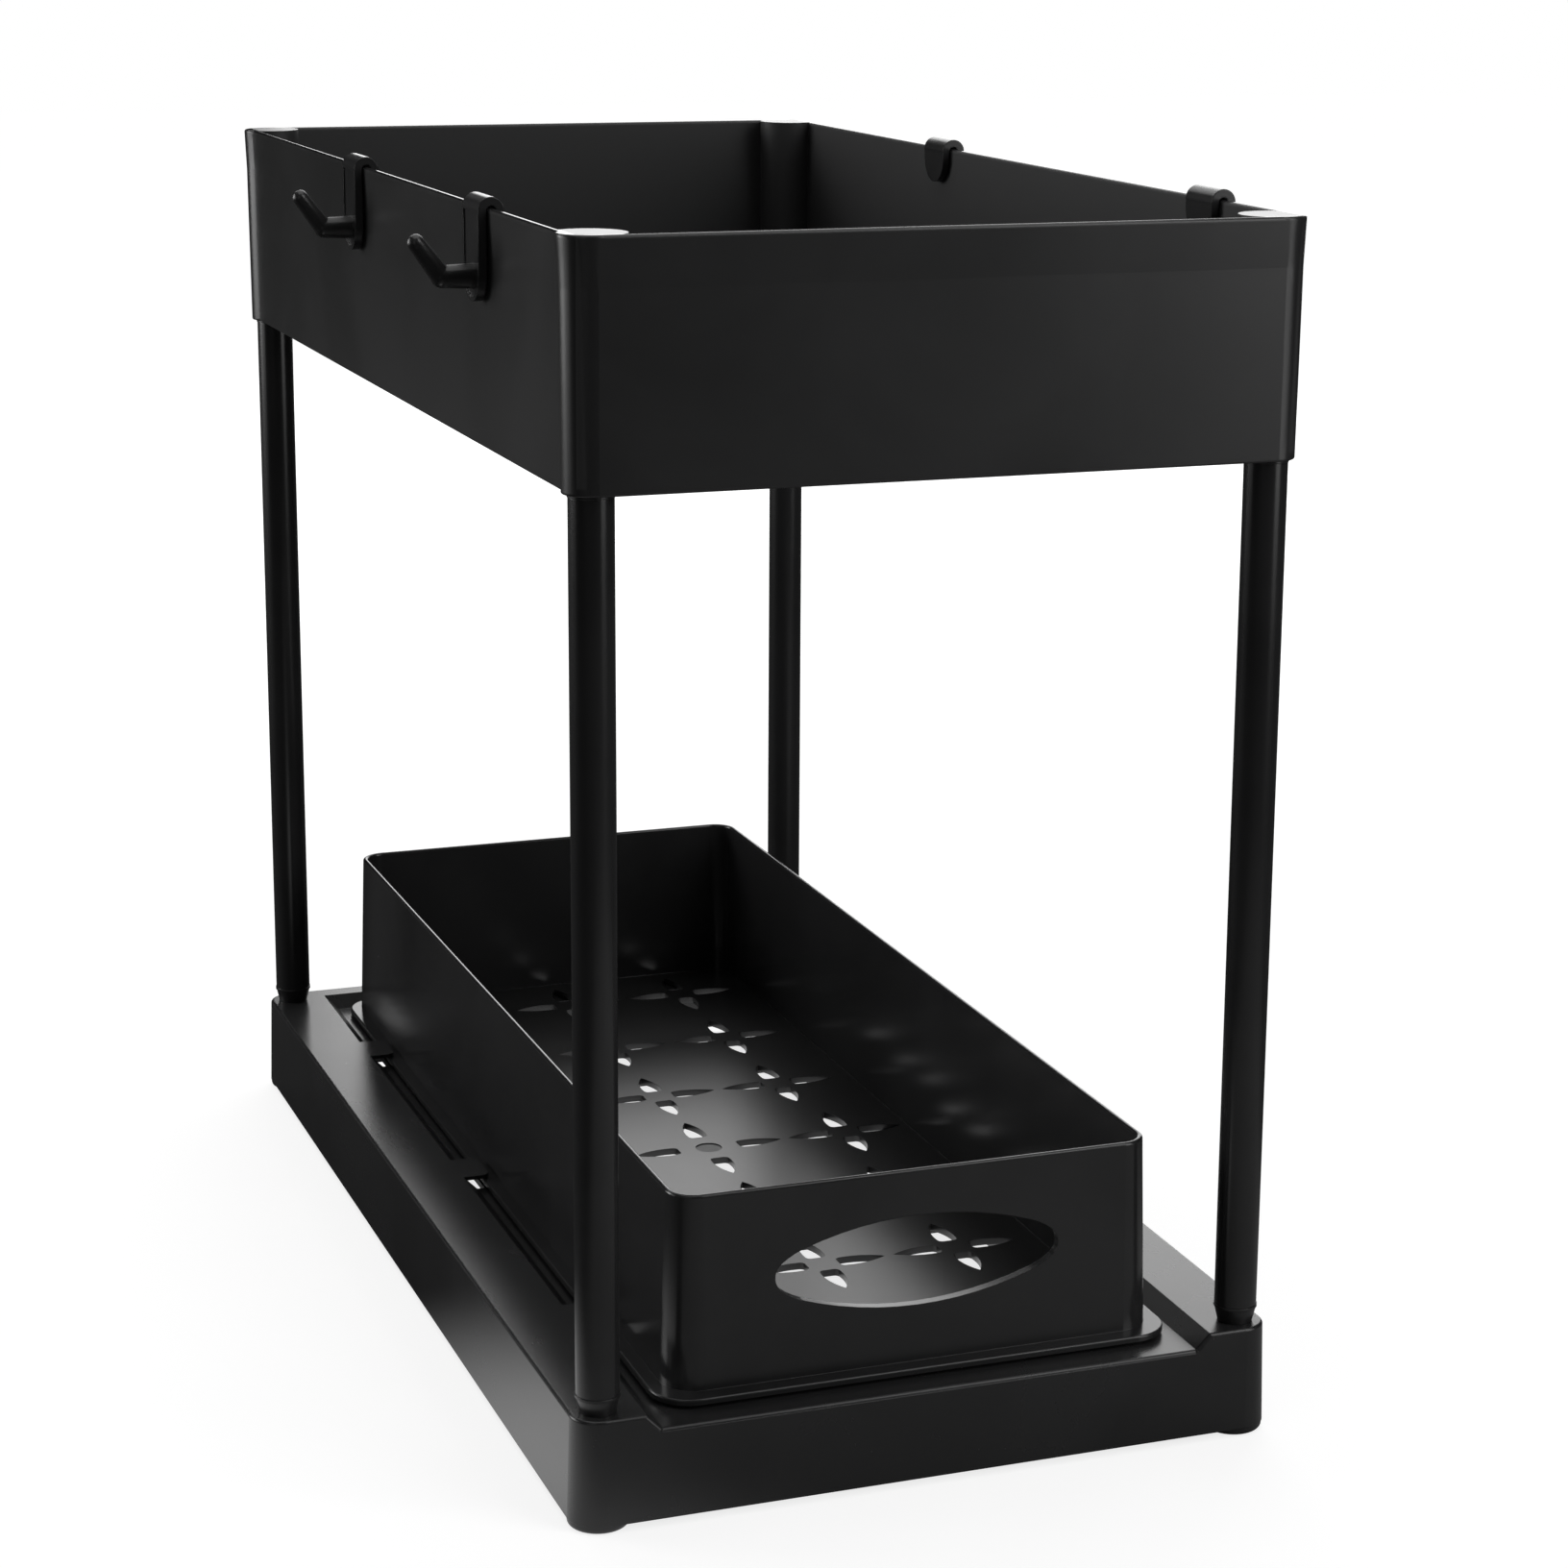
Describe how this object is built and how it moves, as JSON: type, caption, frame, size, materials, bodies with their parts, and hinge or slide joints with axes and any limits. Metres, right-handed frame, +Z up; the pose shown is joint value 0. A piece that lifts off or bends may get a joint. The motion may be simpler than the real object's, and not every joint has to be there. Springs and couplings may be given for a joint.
{
  "type": "two tier cabinet storage shelf",
  "caption": "Cabinet shelf with a sliding slotted drawer in a low base, round posts, an open top tray and hooks hung on its rim.",
  "frame": {"origin": "on the floor under the middle of the base", "axes": "+X to the right, +Y to the back, +Z up; the drawer's front faces -Y"},
  "size_m": [0.254, 0.4176, 0.364],
  "materials": {
    "base_plastic": "satin",
    "drawer_plastic": "satin",
    "tray_plastic": "satin",
    "post_tube": "satin",
    "plug_plastic": "satin",
    "hook_plastic": "gloss"
  },
  "bodies": {
    "shelf": {"base_frame": "base_plastic", "top_tray": "tray_plastic", "post_front_left": "post_tube", "post_front_right": "post_tube", "post_back_left": "post_tube", "post_back_right": "post_tube", "foot_plug_front_left": "plug_plastic", "foot_plug_front_right": "plug_plastic", "foot_plug_back_left": "plug_plastic", "foot_plug_back_right": "plug_plastic", "head_plug_front_left": "plug_plastic", "head_plug_front_right": "plug_plastic", "head_plug_back_left": "plug_plastic", "head_plug_back_right": "plug_plastic"},
    "drawer": {"drawer": "drawer_plastic"},
    "hook_left_front": {"hook_left_front": "hook_plastic"},
    "hook_left_back": {"hook_left_back": "hook_plastic"},
    "hook_right_front": {"hook_right_front": "hook_plastic"},
    "hook_right_back": {"hook_right_back": "hook_plastic"}
  },
  "joints": [
    {"name": "drawer_slide", "type": "slide", "parent": "shelf", "child": "drawer", "axis": [0, -1, 0], "range_m": [0, 0.25]},
    {"name": "hook_left_front_slide", "type": "slide", "parent": "shelf", "child": "hook_left_front", "axis": [0, 1, 0], "range_m": [-0.061, 0.064]},
    {"name": "hook_left_back_slide", "type": "slide", "parent": "shelf", "child": "hook_left_back", "axis": [0, 1, 0], "range_m": [-0.061, 0.144]},
    {"name": "hook_right_front_slide", "type": "slide", "parent": "shelf", "child": "hook_right_front", "axis": [0, 1, 0], "range_m": [-0.03, 0.09]},
    {"name": "hook_right_back_slide", "type": "slide", "parent": "shelf", "child": "hook_right_back", "axis": [0, 1, 0], "range_m": [-0.09, 0.12]}
  ]
}
